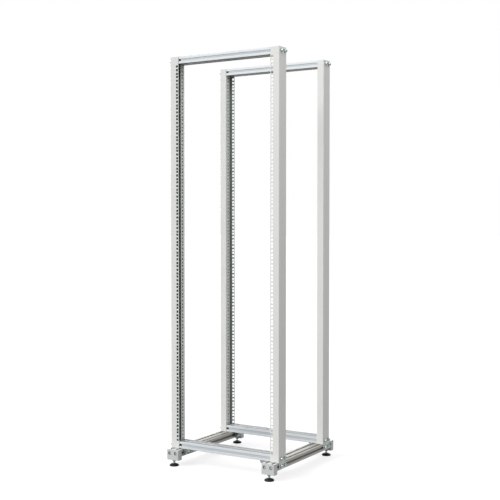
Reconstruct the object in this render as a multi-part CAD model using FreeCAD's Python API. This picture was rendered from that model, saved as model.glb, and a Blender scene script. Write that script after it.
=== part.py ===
"""Four post open frame rack, 36 rack units high, for 19 inch equipment.

Four lipped sheet steel posts stand on two T-slot side rails. Four T-slot beams
tie the posts together in pairs, and a cast block with a levelling foot closes
each end of each side rail.

Frame: millimetres, +X to the right, +Y to the back, +Z up. The origin is on the
floor, below the middle of the rack.
"""
import FreeCAD, Part
import math
import os

V = FreeCAD.Vector

# ---------------------------------------------------------------- driving sizes
# Equipment standard: hole pattern of 19 inch racks
unit_height = 44.45
unit_count = 36
unit_holes = (6.35, 22.225, 38.10)
equipment_opening = 450.0

# Rack
post_face_distance = 444.0
front_overhang = 35.0
rear_overhang = 48.0

# Posts, bent from sheet
sheet = 2.0
bend_radius = 3.0
equipment_flange_width = 41.0
post_depth = 58.0
inner_flange_width = 32.0
lip_length = 28.0
post_foot_margin = 29.5
post_head_margin = 34.5
square_hole = 9.5
square_hole_setback = 7.55
lip_hole_diameter = 7.0
lip_hole_setback = 17.0
lip_notch_gap = 0.5
tongue_length = 28.0

# T-slot extrusions: height, and the slot they all share
extrusion_height = 30.0
rail_width = 60.0
slot_mouth = 8.2
slot_lip = 2.0
slot_width = 16.5
slot_shoulder = 2.2
slot_floor_width = 8.0
slot_depth = 8.6
slot_wall = 2.0
rail_slot_setback = 15.0
beam_slot_setback = 12.8
beam_fit = 0.2

# Cast foot blocks
block_height = 44.0
block_length = 25.0
block_round = 3.0
block_groove_depth = 6.0
block_front_wall = 6.0
counterbore_diameter = 15.0
counterbore_depth = 8.4

# Levelling feet
block_clearance = 26.0
pad_diameter = 40.0
pad_rim_height = 4.0
pad_top_diameter = 22.0
pad_height = 12.0
stud_diameter = 8.0
stud_grip = 20.0
stud_fit = 0.15
nut_flats = 13.0
nut_height = 6.5

# Corner brackets below the bottom beams
bracket_leg = 28.0
bracket_width = 28.0
bracket_sheet = 4.0
bracket_cheek = 3.0

# How far a cutting solid stands out of the face that it cuts
overcut = 1.0

# ---------------------------------------------------------------- worked out
rail_top = block_clearance + block_height
rail_bottom = rail_top - extrusion_height
post_height = post_foot_margin + unit_count * unit_height + post_head_margin
post_top = rail_top + post_height
first_unit = rail_top + post_foot_margin

half_opening = equipment_opening / 2
half_width = half_opening + equipment_flange_width
hole_column = half_opening + square_hole_setback
web_inside = half_width - sheet
lip_face = half_width - inner_flange_width
rack_depth = front_overhang + post_face_distance + rear_overhang
front_end = -rack_depth / 2
rear_end = rack_depth / 2
front_face = front_end + front_overhang
rear_face = rear_end - rear_overhang

beam_depth = post_depth - 2 * (sheet + beam_fit)
beam_length = 2 * web_inside
beam_slot_spacing = beam_depth - 2 * beam_slot_setback
rail_slot_spacing = rail_width - 2 * rail_slot_setback
beam_centre_setback = post_depth / 2
rail_centre = web_inside - rail_width / 2
rail_inside = web_inside - rail_width
bottom_beam_z = rail_top
top_beam_z = post_top - extrusion_height
side_slot_z = rail_top - extrusion_height / 2

SIDES = (("left", -1), ("right", 1))
ENDS = (("front", 1), ("rear", -1))


def face_y(end):
    """Outer face of the post flanges at the front (1) or the rear (-1)."""
    return front_face if end > 0 else rear_face


def end_y(end):
    """Outer face of the foot blocks at the front (1) or the rear (-1)."""
    return front_end if end > 0 else rear_end


def block(x0, x1, y0, y1, z0, z1):
    """A box between two corners given in any order."""
    low = V(min(x0, x1), min(y0, y1), min(z0, z1))
    high = V(max(x0, x1), max(y0, y1), max(z0, z1))
    size = high - low
    return Part.makeBox(size.x, size.y, size.z, low)


def cylinder(diameter, start, direction, length):
    """A round bar or hole from a start point along a direction."""
    return Part.makeCylinder(diameter / 2, length, V(*start), V(*direction))


def polygon_face(points):
    """A flat face inside a closed outline of points."""
    outline = [V(*p) for p in points]
    return Part.Face(Part.makePolygon(outline + outline[:1]))


def rectangle(half_x, half_y):
    """A flat face around the origin."""
    return polygon_face([(-half_x, -half_y, 0), (half_x, -half_y, 0), (half_x, half_y, 0),
                         (-half_x, half_y, 0)])


# ---------------------------------------------------------------- T-slot extrusions
def slot_section(centre, inward):
    """One T-slot in the XY plane: its mouth at centre, opening away from inward."""
    half_mouth = slot_mouth / 2
    half_wide = slot_width / 2
    half_floor = slot_floor_width / 2
    shoulder = slot_lip + slot_shoulder
    profile = [
        (-half_mouth, -overcut), (-half_mouth, slot_lip), (-half_wide, slot_lip),
        (-half_wide, shoulder), (-half_floor, slot_depth), (half_floor, slot_depth),
        (half_wide, shoulder), (half_wide, slot_lip), (half_mouth, slot_lip),
        (half_mouth, -overcut),
    ]
    ux, uy = inward
    points = [(centre[0] + u * uy + v * ux, centre[1] - u * ux + v * uy, 0) for u, v in profile]
    return polygon_face(points)


def extrusion_section(width, slot_spacing):
    """Section of a flat extrusion: two slots above and below, one on each edge."""
    half_w = width / 2
    half_h = extrusion_height / 2
    slots = [slot_section((half_w, 0), (-1, 0)), slot_section((-half_w, 0), (1, 0))]
    for x in (-slot_spacing / 2, slot_spacing / 2):
        slots.append(slot_section((x, half_h), (0, -1)))
        slots.append(slot_section((x, -half_h), (0, 1)))
    chamber_width = slot_spacing - slot_width - 2 * slot_wall
    chamber = rectangle(chamber_width / 2, half_h - slot_wall)
    return rectangle(half_w, half_h).cut(Part.Compound(slots + [chamber])).Faces[0]


def make_beam(end, z):
    """A cross beam along X, its ends against the webs of its two posts."""
    section = extrusion_section(beam_depth, beam_slot_spacing)
    section.rotate(V(0, 0, 0), V(1, 1, 1), 120)
    y = face_y(end) + end * beam_centre_setback
    section.translate(V(-beam_length / 2, y, z + extrusion_height / 2))
    return section.extrude(V(beam_length, 0, 0))


def make_rail(side):
    """A side rail along Y, closed at both ends by a foot block."""
    section = extrusion_section(rail_width, rail_slot_spacing)
    section.rotate(V(0, 0, 0), V(1, 0, 0), 90)
    start = front_end + block_length
    length = rack_depth - 2 * block_length
    section.translate(V(side * rail_centre, start, side_slot_z))
    return section.extrude(V(0, length, 0))


# ---------------------------------------------------------------- posts
def post_section():
    """Closed section of a right front post, at height zero.

    From the equipment flange round the web to the inner flange and its lip: first
    along the outside of the sheet, then back along the inside.
    """
    corners = [
        (half_opening, 0), (half_width, 0), (half_width, post_depth),
        (lip_face, post_depth), (lip_face, post_depth - lip_length),
    ]
    inner = [
        (lip_face + sheet, post_depth - lip_length), (lip_face + sheet, post_depth - sheet),
        (web_inside, post_depth - sheet), (web_inside, sheet), (half_opening, sheet),
    ]
    return Part.Face(Part.makePolygon([V(x, y, 0) for x, y in corners + inner + corners[:1]]))


def round_bends(shape):
    """Round the outside of the three upright bends of a post."""
    bends = [(half_width, 0), (half_width, post_depth), (lip_face, post_depth)]

    def is_bend(edge):
        middle = edge.CenterOfMass
        return any(math.hypot(middle.x - x, middle.y - y) < 1e-4 for x, y in bends)

    return shape.makeFillet(bend_radius, [e for e in shape.Edges if is_bend(e)])


def unit_hole_heights():
    """Heights of every hole in a column, three to a rack unit."""
    return [first_unit + n * unit_height + offset for n in range(unit_count) for offset in unit_holes]


def lip_hole_heights():
    """The lip holes cut here: the outer two of the top unit."""
    return [unit_hole_heights()[i] for i in (-3, -1)]


def make_post(side, end):
    """One post: lipped channel, square equipment holes, round holes in the lip."""
    post = round_bends(post_section().extrude(V(0, 0, post_height)))
    post.translate(V(0, 0, rail_top))
    tongue = block(web_inside, half_width, bend_radius, post_depth - bend_radius,
                   rail_top - tongue_length, rail_top)
    post = post.fuse(tongue).removeSplitter()

    half_hole = square_hole / 2
    cuts = [block(hole_column - half_hole, hole_column + half_hole, -overcut, sheet + overcut,
                  z - half_hole, z + half_hole) for z in unit_hole_heights()]
    lip_y = post_depth - lip_hole_setback
    for z in lip_hole_heights():
        cuts.append(cylinder(lip_hole_diameter, (lip_face - overcut, lip_y, z), (1, 0, 0),
                             sheet + 2 * overcut))
    notch = extrusion_height + lip_notch_gap
    for z0 in (rail_top, post_top - notch):
        cuts.append(block(lip_face - overcut, lip_face + sheet + overcut,
                          post_depth - lip_length - overcut,
                          post_depth - bend_radius, z0, z0 + notch))
    post = post.cut(Part.Compound(cuts))
    return place_corner(post, side, end)


def place_corner(shape, side, end):
    """Mirror a right front corner piece to its corner and move it to the post face."""
    if side < 0:
        shape = shape.mirror(V(0, 0, 0), V(1, 0, 0))
    if end < 0:
        shape = shape.mirror(V(0, 0, 0), V(0, 1, 0))
    shape.translate(V(0, face_y(end), 0))
    return shape


# ---------------------------------------------------------------- foot blocks and feet
def foot_axis(side, end):
    """(x, y) of a levelling foot: the middle of its block."""
    return side * rail_centre, end_y(end) + end * block_length / 2


def make_foot_block(side, end):
    """A cast block on the end of a side rail, with two screws and a foot."""
    x, y_foot = foot_axis(side, end)
    y0 = end_y(end)
    y1 = y0 + end * block_length
    body = block(x - rail_width / 2, x + rail_width / 2, y0, y1, block_clearance, rail_top)

    def is_front_upright(edge):
        return abs(edge.CenterOfMass.y - y0) < 1e-4 and abs(edge.tangentAt(0).z) > 0.9

    body = body.makeFillet(block_round, [e for e in body.Edges if is_front_upright(e)])
    cuts = []
    for dx in (-rail_slot_spacing / 2, rail_slot_spacing / 2):
        cuts.append(cylinder(counterbore_diameter, (x + dx, y0, side_slot_z), (0, end, 0),
                             counterbore_depth))
        cuts.append(block(x + dx - slot_mouth / 2, x + dx + slot_mouth / 2,
                          y0 + end * block_front_wall, y1, rail_top - block_groove_depth, rail_top))
    cuts.append(cylinder(stud_diameter + 2 * stud_fit, (x, y_foot, block_clearance), (0, 0, 1),
                         stud_grip))
    return body.cut(Part.Compound(cuts))


def make_pad(side, end):
    """The conical pad of a levelling foot."""
    x, y = foot_axis(side, end)
    r_base = pad_diameter / 2
    r_top = pad_top_diameter / 2
    profile = polygon_face([(0, 0, 0), (r_base, 0, 0), (r_base, 0, pad_rim_height),
                            (r_top, 0, pad_height), (0, 0, pad_height)])
    pad = profile.revolve(V(0, 0, 0), V(0, 0, 1), 360)
    pad.translate(V(x, y, 0))
    return pad


def make_stud(side, end):
    """The stud between a pad and its block, with the nut that locks it below the block."""
    x, y = foot_axis(side, end)
    stud = cylinder(stud_diameter, (0, 0, pad_height), (0, 0, 1),
                    block_clearance + stud_grip - pad_height)
    corner = nut_flats / 2 / math.cos(math.radians(30))
    points = [(corner * math.cos(math.radians(a)), corner * math.sin(math.radians(a)),
               block_clearance - nut_height) for a in range(0, 360, 60)]
    nut = polygon_face(points).extrude(V(0, 0, nut_height))
    stud = stud.fuse(nut)
    stud.translate(V(x, y, 0))
    return stud


# ---------------------------------------------------------------- corner brackets
def make_bracket(side, end):
    """An angle bracket with two cheeks, below a bottom beam and inside a rail."""
    y_mid = face_y(end) + end * (beam_centre_setback - beam_slot_spacing / 2)
    y0 = y_mid - bracket_width / 2
    outline = [(0, 0), (bracket_leg, 0), (bracket_leg, -bracket_sheet), (bracket_sheet, -bracket_leg),
               (0, -bracket_leg)]
    cheek_face = polygon_face([(x, 0, z) for x, z in outline])
    body = cheek_face.extrude(V(0, bracket_width, 0))
    hollow = block(bracket_sheet, bracket_leg + overcut, bracket_cheek,
                   bracket_width - bracket_cheek, -bracket_sheet, -bracket_leg - overcut)
    body = body.cut(hollow)
    if side > 0:
        body = body.mirror(V(0, 0, 0), V(1, 0, 0))
    body.translate(V(side * rail_inside, y0, rail_top))
    return body


# ---------------------------------------------------------------- all nodes
def all_nodes():
    """Every piece of the rack, by name."""
    nodes = {}
    for end_name, end in ENDS:
        nodes[end_name + "_top_beam"] = make_beam(end, top_beam_z)
        nodes[end_name + "_bottom_beam"] = make_beam(end, bottom_beam_z)
    for side_name, side in SIDES:
        nodes[side_name + "_side_rail"] = make_rail(side)
    for end_name, end in ENDS:
        for side_name, side in SIDES:
            corner = end_name + "_" + side_name
            nodes[corner + "_post"] = make_post(side, end)
            nodes[corner + "_foot_block"] = make_foot_block(side, end)
            nodes[corner + "_foot_pad"] = make_pad(side, end)
            nodes[corner + "_foot_stud"] = make_stud(side, end)
            nodes[corner + "_corner_bracket"] = make_bracket(side, end)
    return nodes


os.makedirs("parts", exist_ok=True)
for name, shape in all_nodes().items():
    shape.exportStep("parts/" + name + ".step")
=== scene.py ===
"""Looks of a four post open frame rack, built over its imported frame.

Every length is in metres. +X is to the right, +Y to the back and +Z up, and the
origin is on the floor below the middle of the rack.
"""

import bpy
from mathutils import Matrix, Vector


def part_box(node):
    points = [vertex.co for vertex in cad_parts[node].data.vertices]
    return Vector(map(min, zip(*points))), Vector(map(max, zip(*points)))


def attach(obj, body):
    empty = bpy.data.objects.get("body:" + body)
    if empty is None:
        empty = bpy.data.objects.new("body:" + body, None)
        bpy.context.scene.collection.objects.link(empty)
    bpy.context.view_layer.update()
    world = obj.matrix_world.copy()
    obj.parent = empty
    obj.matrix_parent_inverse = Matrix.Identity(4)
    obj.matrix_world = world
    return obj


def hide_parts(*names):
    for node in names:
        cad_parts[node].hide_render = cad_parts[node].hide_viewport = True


bl_info = {
    "name": "Four Post Open Frame Rack",
    "version": (1, 0, 0),
    "blender": (4, 5, 0),
    "location": "View3D > Sidebar > Rack",
    "description": "Dresses the frame of a four post equipment rack and lights it",
    "category": "Object",
}

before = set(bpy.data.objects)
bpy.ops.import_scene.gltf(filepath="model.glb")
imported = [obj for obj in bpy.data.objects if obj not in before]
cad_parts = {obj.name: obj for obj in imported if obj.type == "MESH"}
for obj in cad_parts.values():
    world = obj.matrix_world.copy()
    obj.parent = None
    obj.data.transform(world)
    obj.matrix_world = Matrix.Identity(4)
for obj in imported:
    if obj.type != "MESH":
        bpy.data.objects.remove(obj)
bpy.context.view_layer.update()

import math

import bmesh
import bpy
from bpy.props import FloatProperty, FloatVectorProperty, IntProperty, PointerProperty
from mathutils import Matrix, Vector

MM = 0.001

X, Y, Z = range(3)

SIDES = (("left", -1), ("right", 1))
ENDS = (("front", -1), ("rear", 1))
CORNERS = [
    (end + "_" + side, side_sign, end_sign)
    for end, end_sign in ENDS
    for side, side_sign in SIDES
]
BEAMS = [
    (end + "_" + level + "_beam", end_sign)
    for end, end_sign in ENDS
    for level in ("top", "bottom")
]
# Heights of the three holes in a rack unit, from its lower edge.
UNIT_HOLES = (6.35 * MM, 22.225 * MM, 38.1 * MM)


# ---------------------------------------------------------------- settings


def length_setting(name, description, millimetres, low=0.0):
    """A length that can be changed in the sidebar."""
    return FloatProperty(
        name=name,
        description=description,
        default=millimetres * MM,
        min=low * MM,
        unit="LENGTH",
        subtype="DISTANCE",
        precision=5,
    )


def colour_setting(name, description, colour):
    """A colour that can be changed in the sidebar."""
    return FloatVectorProperty(
        name=name,
        description=description,
        default=colour,
        size=3,
        min=0.0,
        max=1.0,
        subtype="COLOR",
    )


def angle_setting(name, description, degrees):
    """An angle that can be changed in the sidebar."""
    return FloatProperty(
        name=name, description=description, default=math.radians(degrees), subtype="ANGLE"
    )


def light_setting(name, description, strength):
    """The strength of a light that can be changed in the sidebar."""
    return FloatProperty(name=name, description=description, default=strength, min=0.0)


class RackPostSettings(bpy.types.PropertyGroup):
    """Sizes of the four bent sheet posts."""

    sheet: length_setting("Sheet", "Thickness of the post's sheet", 2.0, 0.5)
    bend_radius: length_setting("Bend radius", "Outer radius of the bends", 3.0, 2.1)
    inner_flange: length_setting("Inner flange", "Width of the flange behind the web", 32.0, 10)
    lip: length_setting("Lip", "Length of the lip that turns back", 28.0, 10)
    tongue: length_setting("Tongue", "How far the web hangs down beside the rail", 28.0)
    notch: length_setting("Notch", "Height of the lip's notch for a beam", 30.5)
    first_unit: length_setting("First unit", "From the post's foot to the first rack unit", 29.5)
    unit_height: length_setting("Unit height", "Height of one rack unit", 44.45)
    unit_count: IntProperty(name="Units", description="Rack units in a post", default=36, min=1)
    hole: length_setting("Square hole", "Width of an equipment hole", 9.5, 5)
    hole_corner: length_setting("Hole corner", "Radius in the corners of a square hole", 0.6, 0.1)
    hole_setback: length_setting("Hole setback", "From the flange's edge to the holes", 7.55, 6)
    lip_hole: length_setting("Lip hole", "Diameter of the round holes in the lip", 8.0, 2)
    lip_hole_setback: length_setting("Lip hole setback", "From the back of the post", 17.0, 6)
    edge: length_setting("Edge rounding", "Rounding of the cut edges under the paint", 0.3, 0.05)
    bend_steps: IntProperty(name="Bend steps", description="Faces across one bend", default=5, min=2)


class RackExtrusionSettings(bpy.types.PropertyGroup):
    """Section shared by the beams and the side rails."""

    mouth: length_setting("Slot mouth", "Width of a slot's opening", 8.2, 2)
    lip: length_setting("Slot lip", "Thickness of the lips beside a slot", 2.0, 0.5)
    width: length_setting("Slot width", "Widest part of a slot", 16.5, 5)
    shoulder: length_setting("Slot shoulder", "Straight part below a slot's lips", 2.2, 0.5)
    floor: length_setting("Slot floor", "Width of a slot's floor", 8.0, 2)
    depth: length_setting("Slot depth", "Depth of a slot", 8.6, 3)
    wall: length_setting("Wall", "Thinnest wall round the chamber", 2.0, 0.5)
    beam_setback: length_setting("Beam slot setback", "From a beam's edge to its slots", 12.8, 8)
    rail_setback: length_setting("Rail slot setback", "From a rail's edge to its slots", 15.0, 8)
    corner: length_setting("Corner radius", "Rounding of the outer corners", 1.5, 0.1)
    mouth_corner: length_setting("Mouth radius", "Rounding of a slot's mouth", 0.8, 0.05)
    screw_bore: length_setting("Screw bore", "Diameter of the bores for end screws", 6.8, 2)


class RackFootSettings(bpy.types.PropertyGroup):
    """Sizes of the foot blocks, levelling feet and brackets."""

    block_corner: length_setting("Block corner", "Rounding of the block's front uprights", 3.0, 0.5)
    block_edge: length_setting("Block edge", "Rounding of the block's other edges", 0.8, 0.1)
    counterbore: length_setting("Counterbore", "Diameter of the recesses for screws", 15.0, 8)
    counterbore_depth: length_setting("Counterbore depth", "Depth of the recesses", 8.4, 1)
    groove: length_setting("Groove", "Width of the grooves in the block's top", 8.2, 1)
    groove_depth: length_setting("Groove depth", "Depth of those grooves", 6.0, 1)
    front_wall: length_setting("Front wall", "From the block's front to its grooves", 6.0, 1)
    stud: length_setting("Stud", "Diameter of the foot's stud", 8.0, 3)
    thread_pitch: length_setting("Thread pitch", "Rise of the thread in a turn", 1.25, 0.5)
    nut_flats: length_setting("Nut", "Across the flats of the lock nut", 13.0, 6)
    nut_height: length_setting("Nut height", "Height of the lock nut", 6.5, 2)
    bracket_sheet: length_setting("Bracket sheet", "Thickness of a bracket's two legs", 4.0, 1)
    bracket_cheek: length_setting("Bracket cheek", "Thickness of a bracket's cheeks", 3.0, 1)


class RackScrewSettings(bpy.types.PropertyGroup):
    """Sizes of the socket head screws and their washers."""

    head: length_setting("Head", "Diameter of a screw's head", 13.0, 4)
    head_height: length_setting("Head height", "Height of a screw's head", 8.0, 2)
    socket: length_setting("Socket", "Across the flats of the hexagon socket", 6.0, 2)
    socket_depth: length_setting("Socket depth", "Depth of the socket", 4.2, 1)
    knurl: length_setting("Knurl", "Depth of the head's knurling", 0.16)
    washer: length_setting("Washer", "Outer diameter of a washer", 16.0, 6)
    washer_height: length_setting("Washer height", "Thickness of a washer", 1.6, 0.3)
    block_head: length_setting("Block screw head", "Height of the low heads in the foot blocks", 5.6, 1)


class RackFittingSettings(bpy.types.PropertyGroup):
    """Sizes of the cover strips, and of the black nuts in the beams' slots, which stand as painted shade."""

    strip_recess: length_setting("Strip recess", "From the beam's face to a cover strip", 1.1)
    nut_length: length_setting("Slot nut", "Length of a slot nut", 24.0, 5)
    nut_bare: length_setting("Bare nut", "Length of a nut beside the post that no strip covers", 11.5)
    nut_recess: length_setting("Nut recess", "From the beam's face to a slot nut", 1.7)
    outer_cover: length_setting("Outer cover", "Beam length behind a post's equipment flange", 39.0)
    inner_cover: length_setting("Inner cover", "Beam length behind a post's inner flange", 30.0)


class RackFinishSettings(bpy.types.PropertyGroup):
    """Colours of the finishes."""

    post_paint: colour_setting("Post paint", "Powder coat on the posts", (0.715, 0.722, 0.700))
    # Painted shade: the posts' insides are darkened to this colour where the cavity mask finds them hidden,
    # and nearly to black where they are deepest.
    post_hollow_shade: colour_setting("Post hollow", "Thin coat deep inside the posts", (0.18, 0.31, 0.245))
    block_paint: colour_setting("Block paint", "Paint on the cast foot blocks", (0.57, 0.585, 0.575))
    # Painted shade: the blocks' counterbores and grooves are darkened to this colour.
    block_hollow_shade: colour_setting("Block hollow", "Thin coat in the blocks' recesses", (0.12, 0.14, 0.13))
    beam: colour_setting("Beams", "Anodised cross beams", (0.74, 0.76, 0.785))
    # Painted shade in the beams' open slots.
    beam_slot_shade: colour_setting("Beam slots", "Stained aluminium in the beams' open slots", (0.10, 0.105, 0.10))
    strip: colour_setting("Cover strip", "Coated aluminium strips in the beams' slots", (0.53, 0.595, 0.62))
    rail: colour_setting("Side rails", "Duller aluminium of the side rails", (0.45, 0.435, 0.405))
    # Painted shade in the rails' slots.
    rail_slot_shade: colour_setting("Rail slots", "Stained aluminium in the rails' slots", (0.075, 0.075, 0.06))
    # The brackets' colour is darkened as painted shade, for the shadow of the bottom beams over them.
    cast: colour_setting("Bracket", "Cast aluminium brackets", (0.26, 0.30, 0.295))
    steel: colour_setting("Plated steel", "Screws and washers", (0.42, 0.49, 0.47))
    # The lock nuts' colour is darkened as painted shade, for the shade under the foot blocks.
    foot_steel: colour_setting("Nut steel with painted shade", "Oiled lock nuts", (0.15, 0.17, 0.16))
    # Near black, for slot nuts placed as painted shade where the slots run in under the posts' flanges.
    slot_shade_black: colour_setting("Black slot shade", "Slot nuts of black steel", (0.006, 0.008, 0.007))
    rubber: colour_setting("Rubber", "Pads of the levelling feet", (0.008, 0.012, 0.010))


class RackStageSettings(bpy.types.PropertyGroup):
    """Camera, lamps and floor."""

    lens: FloatProperty(name="Lens", description="Focal length", default=70.176, subtype="DISTANCE_CAMERA")
    camera_place: FloatVectorProperty(
        name="Camera",
        description="Where the camera stands",
        default=(2.1912, -3.5982, 1.0370),
        subtype="XYZ",
        unit="LENGTH",
    )
    camera_down: angle_setting("Tilt", "How far it looks down", 1.655)
    camera_turn: angle_setting("Turn", "How far it turns left", 31.455)
    key: light_setting("Key", "Strength of the soft lamp in front on the left", 2.65)
    fill: light_setting("Sky", "Strength of the room's even light", 0.645)
    side: light_setting("Side", "Power of the soft lamp on the right", 15.0)
    rear: light_setting("Rear", "Strength of the soft lamp behind", 1.15)
    floor: colour_setting("Floor", "Colour of the floor", (0.10, 0.10, 0.10))


class RackSettings(bpy.types.PropertyGroup):
    """All settings of the rack."""

    posts: PointerProperty(type=RackPostSettings)
    extrusions: PointerProperty(type=RackExtrusionSettings)
    feet: PointerProperty(type=RackFootSettings)
    screws: PointerProperty(type=RackScrewSettings)
    fittings: PointerProperty(type=RackFittingSettings)
    finish: PointerProperty(type=RackFinishSettings)
    stage: PointerProperty(type=RackStageSettings)


# ---------------------------------------------------------------- node groups


def start_group(name, output, **inputs):
    """A new shader node group: numbers and vectors in, with their defaults, and one number out."""
    group = bpy.data.node_groups.new(name, "ShaderNodeTree")
    for label, value in inputs.items():
        kind = "NodeSocketVector" if isinstance(value, tuple) else "NodeSocketFloat"
        socket = group.interface.new_socket(label.replace("_", " "), in_out="INPUT", socket_type=kind)
        socket.default_value = value
    group.interface.new_socket(output, in_out="OUTPUT", socket_type="NodeSocketFloat")
    return group, group.nodes.new("NodeGroupInput"), group.nodes.new("NodeGroupOutput")


def add_node(tree, kind, inputs=None, **properties):
    """A node with its properties set, and its inputs linked to sockets or set to plain values."""
    node = tree.nodes.new("ShaderNode" + kind)
    for key, value in properties.items():
        setattr(node, key, value)
    for key, value in (inputs or {}).items():
        if isinstance(value, bpy.types.NodeSocket):
            tree.links.new(value, node.inputs[key])
        else:
            node.inputs[key].default_value = value
    return node


def set_inputs(node, values):
    """Sets a node's inputs by name, with _ for each space in a name."""
    for key, value in values.items():
        node.inputs[key.replace("_", " ")].default_value = value


def maths(tree, operation, first, second, clamp=False):
    """A Math node; its two arguments are sockets or numbers."""
    return add_node(tree, "Math", {0: first, 1: second}, operation=operation, use_clamp=clamp).outputs[0]


def between(tree, value, low, high, to_low=0.0, to_high=1.0):
    """A Map Range node that takes low..high to to_low..to_high, clamped."""
    inputs = {"Value": value, "From Min": low, "From Max": high, "To Min": to_low, "To Max": to_high}
    return add_node(tree, "MapRange", inputs).outputs["Result"]


def noise(tree, vector, scale, detail, roughness=0.55):
    """A noise texture's value; scale is a number or a socket."""
    inputs = {"Vector": vector, "Scale": scale, "Detail": detail, "Roughness": roughness}
    return add_node(tree, "TexNoise", inputs).outputs["Fac"]


def object_noise(tree, scale, detail, roughness=0.55):
    """Noise that is fixed to the object."""
    place = add_node(tree, "TexCoord")
    return noise(tree, place.outputs["Object"], scale, detail, roughness)


def upward(tree, low, high, to_low=0.0, to_high=1.0):
    """The height of a face's normal, with low..high taken to to_low..to_high."""
    surface = add_node(tree, "NewGeometry")
    split = add_node(tree, "SeparateXYZ", {0: surface.outputs["Normal"]})
    return between(tree, split.outputs["Z"], low, high, to_low, to_high)


def close_mask(group, source, result, *shares):
    """Sends the product of the shares and the group's Amount out as its Mask."""
    mask = shares[0]
    for share in shares[1:]:
        mask = maths(group, "MULTIPLY", mask, share)
    mask = maths(group, "MULTIPLY", mask, source.outputs["Amount"], clamp=True)
    group.links.new(mask, result.inputs["Mask"])
    return group


def make_edge_wear():
    """Mask of rubbed edges: where a rounded normal leaves the true one, broken by noise."""
    group, source, result = start_group("Edge wear", "Mask", Radius=0.0008, Amount=0.5)
    rounded = add_node(group, "Bevel", {"Radius": source.outputs["Radius"]}, samples=6)
    surface = add_node(group, "NewGeometry")
    normals = {0: rounded.outputs["Normal"], 1: surface.outputs["Normal"]}
    dot = add_node(group, "VectorMath", normals, operation="DOT_PRODUCT")
    edge = between(group, dot.outputs["Value"], 0.97, 0.75)
    patches = between(group, object_noise(group, 90.0, 4.0), 0.42, 0.62)
    return close_mask(group, source, result, edge, patches)


def make_cloudiness():
    """Soft uneven tone over a surface, from 0 to 1, in large and small patches."""
    group, source, result = start_group("Cloudiness", "Value", Scale=6.0, Fine_Scale=60.0)
    large = maths(group, "MULTIPLY", object_noise(group, source.outputs["Scale"], 2.0), 0.65)
    small = maths(group, "MULTIPLY", object_noise(group, source.outputs["Fine Scale"], 4.0), 0.35)
    tone = between(group, maths(group, "ADD", large, small), 0.3, 0.7)
    group.links.new(tone, result.inputs["Value"])
    return group


def make_orange_peel():
    """Height of the fine ripple in a sprayed or powder coated finish."""
    group, source, result = start_group("Orange peel", "Height", Scale=900.0)
    ripple = object_noise(group, source.outputs["Scale"], 1.5, 0.4)
    group.links.new(ripple, result.inputs["Height"])
    return group


def make_drawn_lines():
    """Fine lines along a drawn or rolled part: noise stretched along one axis."""
    group, source, result = start_group("Drawn lines", "Value", Stretch=(1.0, 60.0, 60.0), Scale=40.0)
    place = add_node(group, "TexCoord")
    factors = {0: place.outputs["Object"], 1: source.outputs["Stretch"]}
    stretched = add_node(group, "VectorMath", factors, operation="MULTIPLY")
    lines = noise(group, stretched.outputs["Vector"], source.outputs["Scale"], 5.0, 0.7)
    group.links.new(between(group, lines, 0.25, 0.75), result.inputs["Value"])
    return group


def make_dust():
    """Mask of light dust: thicker on faces that look up, in patches or more even. With a high evenness it
    covers nearly all of each top face, which the anodised aluminium darkens as painted shade.
    """
    group, source, result = start_group("Dust", "Mask", Amount=0.1, Evenness=0.0)
    level = upward(group, 0.2, 1.0, 0.1, 1.0)
    patches = between(group, object_noise(group, 35.0, 6.0, 0.65), 0.35, 0.7)
    patches = maths(group, "ADD", patches, source.outputs["Evenness"], clamp=True)
    return close_mask(group, source, result, level, patches)


def make_cavity_shade():
    """Mask of painted shade in hollows: how much of the room a point can't see."""
    group, source, result = start_group("Cavity shade", "Mask", Distance=0.03, Amount=0.6)
    distance = {"Distance": source.outputs["Distance"]}
    open_share = add_node(group, "AmbientOcclusion", distance, samples=8, only_local=True)
    hidden = between(group, open_share.outputs["AO"], 0.95, 0.10)
    return close_mask(group, source, result, hidden)


def make_underside():
    """Mask of painted shade on faces that look down, a little uneven."""
    group, source, result = start_group("Underside", "Mask", Amount=0.6)
    downward = upward(group, -0.3, -0.9)
    patches = between(group, object_noise(group, 25.0, 4.0), 0.3, 0.6, 0.75, 1.0)
    return close_mask(group, source, result, downward, patches)


GROUP_MAKERS = {
    "Cavity shade": make_cavity_shade,
    "Edge wear": make_edge_wear,
    "Cloudiness": make_cloudiness,
    "Orange peel": make_orange_peel,
    "Drawn lines": make_drawn_lines,
    "Dust": make_dust,
    "Underside": make_underside,
}


def place_group(tree, name, **values):
    """The named group in a material, made the first time that it is asked for."""
    group = bpy.data.node_groups.get(name) or GROUP_MAKERS[name]()
    node = add_node(tree, "Group", node_tree=group)
    set_inputs(node, values)
    return node.outputs[0]


# ---------------------------------------------------------------- materials


PAINT_DUST = (0.62, 0.60, 0.56, 1.0)
METAL_DUST = (0.55, 0.54, 0.52, 1.0)
RUBBER_DUST = (0.20, 0.19, 0.18, 1.0)
RUBBED_RUBBER = (0.03, 0.034, 0.032, 1.0)
# Painted shade on the faces of the aluminium that look down.
UNDERSIDE_SHADE = (0.13, 0.145, 0.10, 1.0)

# Stretch of the noise that draws fine lines along one axis, or an even grain.
LINES_ALONG_X = (1.0, 45.0, 45.0)
LINES_ALONG_Y = (45.0, 1.0, 45.0)
LINES_ALONG_Z = (45.0, 45.0, 1.0)
EVEN_GRAIN = (8.0, 8.0, 8.0)

# Heights of the fine relief.
PEEL_HEIGHT = 0.00012
LINE_HEIGHT = 0.00004
STRIP_LINE_HEIGHT = 0.00005
PIT_HEIGHT = 0.0001


def start_material(name, **values):
    """A material with one Principled shader, its plain values set on the shader."""
    material = bpy.data.materials.new(name)
    material.use_nodes = True
    tree = material.node_tree
    shader = next(node for node in tree.nodes if node.type == "BSDF_PRINCIPLED")
    set_inputs(shader, values)
    return material, tree, shader


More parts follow.
